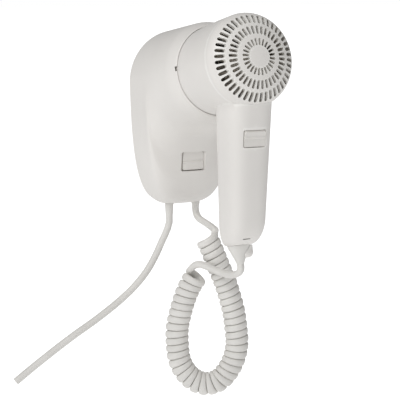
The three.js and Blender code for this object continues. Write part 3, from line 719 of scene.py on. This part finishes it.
def base_rings(inset, count):
    """The base's outlines from its back to the rim; inset goes inwards."""
    rings = []
    bottoms = spaced(UNDERSIDE_LINE, count)
    for bottom, along in zip(bottoms, directions(bottoms)):
        out = bottom[1] / RIM_BOTTOM[1]
        top = BACK_TOP + (RIM_TOP - BACK_TOP) * out
        half_width = BACK_HALF_WIDTH + (RIM_RADIUS - BACK_HALF_WIDTH) * out**1.5
        inward = np.array([0, along[2], -along[1]])
        rings.append(base_outline(bottom + inset * inward, top - inset * RIM_UP, half_width - inset))
    return rings


def rim_ring(radius, s):
    """A circle about the barrel's axis, with its points in the order of the base's outlines."""
    return base_outline(barrel_point(0, -radius, s), barrel_point(0, radius, s), radius)


def drawn_in(rings):
    """The rings with their last stretch narrowed towards the barrel, so that the two surfaces nearly meet."""
    points = np.array(rings)
    offset = points - RIM_CENTRE
    s = offset @ AXIS
    radial = offset - s[..., None] * AXIS
    reach = np.clip((s + RIM_NARROWING_LENGTH) / RIM_NARROWING_LENGTH, 0, 1)
    points -= (RIM_NARROWING * reach**2 / np.linalg.norm(radial, axis=2))[..., None] * radial
    return list(points)


def face_matrix(centre, lean):
    """Places what is drawn with X up the face, Y outwards and Z across it."""
    basis = Matrix(((0, 0, 1, 0), (0, -1, 0, 0), (1, 0, 0, 0), (0, 0, 0, 1)))
    return Matrix.Translation(centre) @ Matrix.Rotation(lean, 4, "X") @ basis


def base_face():
    """Where the base's rocker sits: on the lower profile, leaning as it does there."""
    line = spaced(UNDERSIDE_LINE, 1000)
    at = int(BASE_ROCKER["share"] * 1000)
    down = -directions(line)[at]
    return face_matrix(line[at], math.atan2(down[1], -down[2]))


def rocker_opening(rocker, face):
    """The opening's straight walls, and the two cheeks that slope out from them to the housing's surface."""
    width, height = rocker["size"] + 2 * GAP
    corner = ROCKER_CORNER + GAP
    low, high = -CHEEK_DEPTH, mm(6)
    spread = 2 * CHEEK_WIDTH * (high - low) / CHEEK_DEPTH
    sections = ((mm(-12), width), (low, width), (high, width + spread))
    opening = loft("opening", [
        [(up, depth, across) for across, up in rounded_outline(across_all, height, corner)]
        for depth, across_all in sections
    ])
    opening.data.transform(face)
    return opening


def upright_rod(radius, start, end, x, y):
    return revolve("rod", [(radius, start), (radius, end)], Matrix.Translation((x, y, 0)), 48)


def add_base_shell():
    """One closed wall: along the outside to the rim, in through the bore, and back along the inside."""
    outer = base_rings(0, 90)
    outer[0][:, 1] = -BACK_EDGE
    back_edge = outer[0] + (np.mean(outer[0], axis=0) - outer[0]) * BACK_EDGE_SHARE
    back_edge[:, 1] = 0
    side = [rim_ring(RIM_RADIUS, s) for s in np.linspace(-RIM_LIP, -RIM_ROUND, 8)[1:]]
    lip = [
        rim_ring(RIM_RADIUS - RIM_ROUND * (1 - math.cos(a)), RIM_ROUND * (math.sin(a) - 1))
        for a in np.radians(np.linspace(9, 90, 6))
    ]
    outside = drawn_in([*outer, *side, *lip])
    bore = [rim_ring(RIM_BORE, s) for s in mm([-0.35, -3, -6.3])]
    behind_bore = rim_ring(RIM_RADIUS - BASE_WALL, -RIM_LIP - mm(1.5))
    inside = drawn_in([behind_bore, *base_rings(BASE_WALL, 60)[-2:0:-1]])
    back_inside = inside[-1].copy()
    back_inside[:, 1] = 0
    shell = loft("base_housing", [back_edge, *outside, *bore, *inside, back_inside], closed=True)
    keyway_place = IN_BARREL @ Matrix.Translation((-RIM_BORE, mm(3), -mm(2)))
    keyway = rounded_block("keyway", *KEYWAY_SIZE, mm(0.5), keyway_place)
    gland_holes = [upright_rod(GLAND_HOLE, mm(-100), mm(-70), x, GLAND_Y) for x in (-GLAND_X, GLAND_X)]
    carve(shell, rocker_opening(BASE_ROCKER, base_face()), keyway, *gland_holes)
    finish_piece(round_edges(shell, mm(0.35)), "housing_plastic", "base", "base_shell")


def add_cradle_cup():
    """The liner that the barrel slides into: a floor, a rounded corner, a cone and a straight wall."""
    wall = mm(1.4)
    floor_s = NOSE_S - GAP
    straight_s, front_s = mm(-30), -RIM_LIP - mm(1.8)
    inner_radius = RIM_BORE - mm(0.2)
    outer_radius = inner_radius + wall
    profile = [
        (0, floor_s - wall), (NOSE_RADIUS, floor_s - wall),
        *arc((NOSE_RADIUS, floor_s + mm(1)), mm(3), -90, -20),
        (outer_radius, straight_s), (outer_radius, front_s),
        (inner_radius, front_s), (inner_radius, straight_s),
        *arc((NOSE_RADIUS - mm(1), floor_s + mm(2)), mm(2), -20, -90),
        (0, floor_s),
    ]
    finish_piece(revolve("cradle_liner", profile), "housing_plastic", "base", "cradle_cup")


# ---------------------------------------------------------------- rockers


def add_rocker(name, node, rocker, face, body):
    """The key is a shallow V about its pin, with a finger rib beside its middle on the half that stands out.

    Its ends are arcs about the pin, so that they stay close to the housing's edge as it rocks.
    """
    width, height = rocker["size"]
    wall_level = ROCKER_PIVOT_DEPTH - BASE_WALL
    reach = math.hypot(height / 2 + GAP / 2, wall_level)
    ridge = ROCKER_PIVOT_DEPTH - ROCKER_RECESS
    end_level = ridge + height / 2 * math.tan(ROCKER_THROW / 2)
    half = math.sqrt(reach**2 - end_level**2)
    rib_at = -rocker["pressed"] * RIB_PLACE
    top = []
    for x in np.linspace(half, -half, 41):
        rib = RIB_HEIGHT * math.exp(-(((x - rib_at) / RIB_WIDTH) ** 2))
        top.append((x, ridge + (end_level - ridge) * abs(x / half) + rib))
    end_from, end_to = math.degrees(math.atan2(end_level, half)), 16
    left = arc((0, 0), reach, 180 - end_from, 180 - end_to)[1:]
    right = arc((0, 0), reach, end_to, end_from)[:-1]
    foot_half, foot = height / 2 - ROCKER_FOOT_INSET, ROCKER_DEPTH - ROCKER_PIVOT_DEPTH
    outline = [*top, *left, (-foot_half, -foot), (foot_half, -foot), *right]
    rings = []
    for angle in np.radians(np.linspace(-90, 90, 13)):
        side = 1 if angle >= 0 else -1
        z = side * (width / 2 - ROCKER_CORNER) + ROCKER_CORNER * math.sin(angle)
        narrowed = 1 - ROCKER_CORNER * (1 - math.cos(angle)) / half
        rings.append([(x * narrowed, y, z) for x, y in outline])
    key = loft(name, rings)
    turn = Matrix.Rotation(-rocker["pressed"] * ROCKER_THROW / 2, 4, "Z")
    key.data.transform(face @ Matrix.Translation((0, -ROCKER_PIVOT_DEPTH, 0)) @ turn)
    finish_piece(round_edges(key, mm(0.5), 3, 30), "rocker_plastic", body, node)


# ---------------------------------------------------------------- handset housing


def handle_section(h):
    """Where the handle's middle is at height h, and half its width and depth there."""
    share = (HANDLE_TOP_H - h) / (HANDLE_TOP_H - HANDLE_END_H)
    centre = HANDLE_TOP_S + (HANDLE_END_S - HANDLE_TOP_S) * share
    return centre, HANDLE_TOP_SIZE + (HANDLE_END_SIZE - HANDLE_TOP_SIZE) * share


def handle_ring(h, inset, shrink=1.0):
    """The handle's outline at height h, a rounded rectangle."""
    centre, (across, deep) = handle_section(h)
    centre -= HANDLE_END_SHIFT * (1 - shrink) / (1 - HANDLE_END_SHARE)
    power = 2 / HANDLE_SQUARENESS
    ring = []
    for angle in (np.arange(ROUND) + 0.5) / ROUND * 2 * math.pi:
        x = math.copysign(abs(math.cos(angle)) ** power, math.cos(angle)) * (across * shrink - inset)
        s = math.copysign(abs(math.sin(angle)) ** power, math.sin(angle)) * (deep * shrink - inset)
        ring.append(barrel_point(x, h, centre + s))
    return ring


def handle_solid(name, inset):
    """The handle with its side and its rounded end moved inwards by inset."""
    round_from = HANDLE_END_H + HANDLE_END_ROUND
    rings = [handle_ring(h, inset) for h in np.linspace(HANDLE_TOP_H, round_from, 40)]
    for angle in np.radians(np.linspace(6, 90, 15)):
        shrink = 1 - (1 - HANDLE_END_SHARE) * (1 - math.cos(angle))
        rings.append(handle_ring(round_from - (HANDLE_END_ROUND - inset) * math.sin(angle), inset, shrink))
    return loft(name, rings)


def barrel_line():
    """The barrel's outside from its nose to the grille, as (radius, distance along the axis)."""
    knots = [
        (NOSE_RADIUS, NOSE_S), BARREL_SHOULDER, (SEAM_RADIUS, SEAM_S), (BARREL_RADIUS, WIDEST_S),
        (BARREL_RADIUS, GRILLE_S),
    ]
    return smooth_line(knots, 10)


def barrel_solid(name, inset, overrun, nose_round=0.0):
    """The barrel with its side moved inwards by inset and its ends moved outwards by overrun."""
    line = [(radius - inset, s) for radius, s in barrel_line()]
    start, end = NOSE_S - overrun, GRILLE_S + overrun
    nose_radius = line[0][0] - nose_round
    rounding = arc((nose_radius, NOSE_S + nose_round), nose_round, -90, -20, 4) if nose_round else []
    profile = [(0, start), (nose_radius, start), *rounding, *line[1:], (line[-1][0], end), (0, end)]
    return revolve(name, profile)


def barrel_rod(radius, start, end):
    return revolve("clearance", [(0, start), (radius, start), (radius, end), (0, end)])


def handle_face():
    """Where the handle's rocker sits: on the outer face, leaning as it does there."""
    def face_point(h):
        centre, (_, deep) = handle_section(h)
        return barrel_point(0, h, centre + deep)

    here = face_point(HANDLE_ROCKER["h"])
    down = face_point(HANDLE_ROCKER["h"] - mm(1)) - here
    return face_matrix(here, math.atan2(down[1], -down[2]))


def down_handle(x, s):
    """Places what is drawn about Z about the line that goes down from the barrel's axis."""
    return IN_BARREL @ Matrix.Translation((x, 0, s)) @ Matrix.Rotation(math.pi / 2, 4, "X")


def across_handle(h, s):
    """Places what is drawn about Z about a line across the handle."""
    return IN_BARREL @ Matrix.Translation((0, h, s)) @ Matrix.Rotation(math.pi / 2, 4, "Y")


def grille_clearance():
    """Room for the grille above the handle: the handle's top follows the dome as far as the slots."""
    outside_slots = SLOT_RINGS[-1]["outer"] + mm(0.6)
    dome = [(radius + SEAM, s) for radius, s in dome_line(0) if radius > outside_slots]
    end = [(dome[-1][0], BEYOND_S), (0, BEYOND_S)]
    return revolve("clearance", [(0, GRILLE_S), (BARREL_RADIUS + SEAM, GRILLE_S), *dome, *end])


def add_handset_shells():
    """The barrel and handle as one hollow shell, with its openings cut, then split on its middle plane."""
    outer = combine(
        barrel_solid("handset_outer", 0, 0, NOSE_ROUND),
        carve(handle_solid("handle", 0), grille_clearance()),
        "UNION",
    )
    roof = barrel_rod(BARREL_RADIUS + GAP + SHELL_WALL, GRILLE_S - SHELL_WALL, BEYOND_S)
    inner = combine(
        barrel_solid("handset_inner", SHELL_WALL, mm(1)),
        carve(handle_solid("hollow", SHELL_WALL), roof),
        "UNION",
    )
    carve(outer, inner)
    boot_hole = [(BOOT_NECK_RADIUS + GAP, mm(158)), (BOOT_NECK_RADIUS + GAP, mm(174))]
    screw_hole = [(SCREW_HOLE, mm(14)), (SCREW_HOLE, mm(30))]
    carve(
        outer,
        rocker_opening(HANDLE_ROCKER, handle_face()),
        revolve("boot_hole", boot_hole, down_handle(BOOT_X, BOOT_S), 48),
        rounded_block("slit", *SLIT_SIZE, mm(0.3), IN_BARREL @ Matrix.Translation(SLIT_PLACE)),
        *[revolve("screw_hole", screw_hole, across_handle(h, s), 40) for h, s in HANDLE_SCREWS],
    )
    round_edges(outer, mm(0.3))
    for name, node, side in (
        ("handset_left", "handset_shell_left", -1),
        ("handset_right", "handset_shell_right", 1),
    ):
        place = Matrix.Translation((side * (HALF_SPACE[0] / 2 + mm(0.005)), RIM_CENTRE[1], 0))
        half_space = rounded_block("half", *HALF_SPACE, mm(1), place)
        half = combine(copy_of(outer, name), half_space, "INTERSECT")
        finish_piece(half, "housing_plastic", "handset", node)
    bpy.data.objects.remove(outer)


def boot_cone(spread):
    """The boot's outside below the handle, as (radius, depth below the barrel's axis), widened by spread."""
    return [(radius + spread, depth) for radius, depth in smooth_line(BOOT_CONE, 6)]


def add_boot():
    profile = [*BOOT_NECK, *boot_cone(0), (0, BOOT_END)]
    boot = revolve("handle_boot", profile, down_handle(BOOT_X, BOOT_S), 96)
    finish_piece(boot, "cord_sheath", "handset", "handle_strain_relief")


def add_end_boss():
    """The small round boss beside the boot, hollowed so that the boot fits against it."""
    end = arc((BOSS_RADIUS - BOSS_ROUND, BOSS_ROUND_FROM), BOSS_ROUND, 5, 88, 12)
    profile = [
        (0, BOSS_TOP), (BOSS_RADIUS - BOSS_CHAMFER, BOSS_TOP), (BOSS_RADIUS, BOSS_TOP + BOSS_CHAMFER),
        (BOSS_RADIUS, BOSS_SIDE_END), *end, (0, end[-1][1]),
    ]
    boss = revolve("handle_boss", profile, down_handle(BOOT_X + BOSS_OFFSET, BOOT_S), 96)
    around_boot = boot_cone(GAP)
    above, below = mm([160, 190])
    scoop = [(0, above), (around_boot[0][0], above), *around_boot, (around_boot[-1][0], below), (0, below)]
    carve(boss, revolve("scoop", scoop, down_handle(BOOT_X, BOOT_S), 96))
    finish_piece(round_edges(boss, EDGE_ROUND), "housing_plastic", "handset", "handle_end_boss")


def add_gland(name, node, x, cord_radius, tail):
    """A cord's strain relief: held in the base's floor, and narrowing down the cord below it."""
    bore = cord_radius - mm(0.13)
    inside = mm([[6.4, 10], [6.4, 7.4], [4.3, 7.4], [4.3, -2]])
    below = [(cord_radius + mm(0.57), -mm(3.4)), (cord_radius + mm(0.37), -0.6 * tail), (bore, -tail)]
    profile = [(bore, inside[0][1]), *inside, *below]
    gland = revolve(name, profile, Matrix.Translation((x, GLAND_Y, GLAND_TOP)), 64, closed=True)
    finish_piece(gland, "cord_sheath", "base", node)


def slot_tool(ring):
    """One ring of upright slots with round ends, as a single tool."""
    middle = (ring["inner"] + ring["outer"]) / 2
    width = SLOT_SHARE * 2 * math.pi * middle / ring["count"]
    length = ring["outer"] - ring["inner"]
    place = IN_BARREL @ Matrix.Translation((0, 0, DOME_S + SLOT_TOOL_DEPTH / 2))
    vertices, faces = [], []
    for i in range(ring["count"]):
        angle = (i + 0.5) / ring["count"] * 2 * math.pi
        turn = Matrix.Rotation(angle, 4, "Z") @ Matrix.Translation((middle, 0, 0))
        one = rounded_block("slot", length, width, SLOT_TOOL_DEPTH, width / 2 - mm(0.01), place @ turn)
        base = len(vertices)
        vertices += [tuple(vertex.co) for vertex in one.data.vertices]
        faces += [tuple(base + corner for corner in face.vertices) for face in one.data.polygons]
        bpy.data.objects.remove(one)
    return mesh_piece("slots", vertices, faces)


def dome_line(inset):
    """The grille's dome from its edge to its middle, as (radius, distance along the axis)."""
    angles = np.radians(np.linspace(0, 90, 40))
    radius, height = BARREL_RADIUS - inset, DOME_HEIGHT - inset
    return [(radius * math.cos(a), DOME_S + height * math.sin(a)) for a in angles]


def add_rear_grille():
    """The slotted dome, with a collar that plugs into the barrel."""
    plug_outer = BARREL_RADIUS - SHELL_WALL - GAP
    plug_inner = plug_outer - PLUG_WALL
    plug_s, seat_s = GRILLE_S - PLUG_LENGTH, GRILLE_S + SEAM
    profile = [
        (plug_inner, plug_s), (plug_outer, plug_s), (plug_outer, seat_s), (BARREL_RADIUS, seat_s),
        *dome_line(0)[:-1], (0, DOME_S + DOME_HEIGHT), (0, DOME_S + DOME_HEIGHT - GRILLE_WALL),
        *dome_line(GRILLE_WALL)[-2::-1],
    ]
    grille = revolve("grille", profile, sides=176, closed=True)
    carve(grille, *[slot_tool(ring) for ring in SLOT_RINGS])
    finish_piece(round_edges(grille, mm(0.3), 2, 50), "housing_plastic", "handset", "rear_grille")


# ---------------------------------------------------------------- pieces whose CAD shape stays


def add_refined(node, material, body, edge_round):
    """A CAD node's own shape with its flat faces joined and its edges rounded."""
    piece = new_piece(node + "_finished", frame["nodes"][node].data.copy())
    work = bmesh.new()
    work.from_mesh(piece.data)
    bmesh.ops.remove_doubles(work, verts=work.verts, dist=1e-6)
    bmesh.ops.dissolve_limit(work, angle_limit=math.radians(1), verts=work.verts, edges=work.edges)
    work.to_mesh(piece.data)
    work.free()
    if edge_round:
        round_edges(piece, edge_round, 2, 38)
    finish_piece(piece, material, body, node)


def add_kept_pieces():
    """Finishes every CAD node that no piece above stands for. The heater's thin wire keeps its own edges."""
    record = frame["record"]
    slots = {row["node"]: row["material_slot"] for row in record["subparts"]}
    bodies = {node: body for body, nodes in record["behaviour"]["bodies"].items() for node in nodes}
    for node in frame["nodes"]:
        if not frame["nodes"][node].hide_render:
            add_refined(node, slots[node], bodies[node], 0 if node == "heating_coil" else EDGE_ROUND)


# ---------------------------------------------------------------- the scene

add_camera()
add_studio()
add_curly_cord()
add_mains_lead()
add_base_shell()
add_cradle_cup()
add_rocker("base_key", "base_rocker", BASE_ROCKER, base_face(), "base_rocker")
add_handset_shells()
add_rocker("handle_key", "handle_rocker", HANDLE_ROCKER, handle_face(), "handle_rocker")
add_boot()
add_end_boss()
add_gland("mains_gland", "mains_strain_relief", -GLAND_X, MAINS_RADIUS, MAINS_TAIL)
add_gland("curly_gland", "base_coil_strain_relief", GLAND_X, WIRE_RADIUS, CURLY_TAIL)
add_rear_grille()
add_kept_pieces()
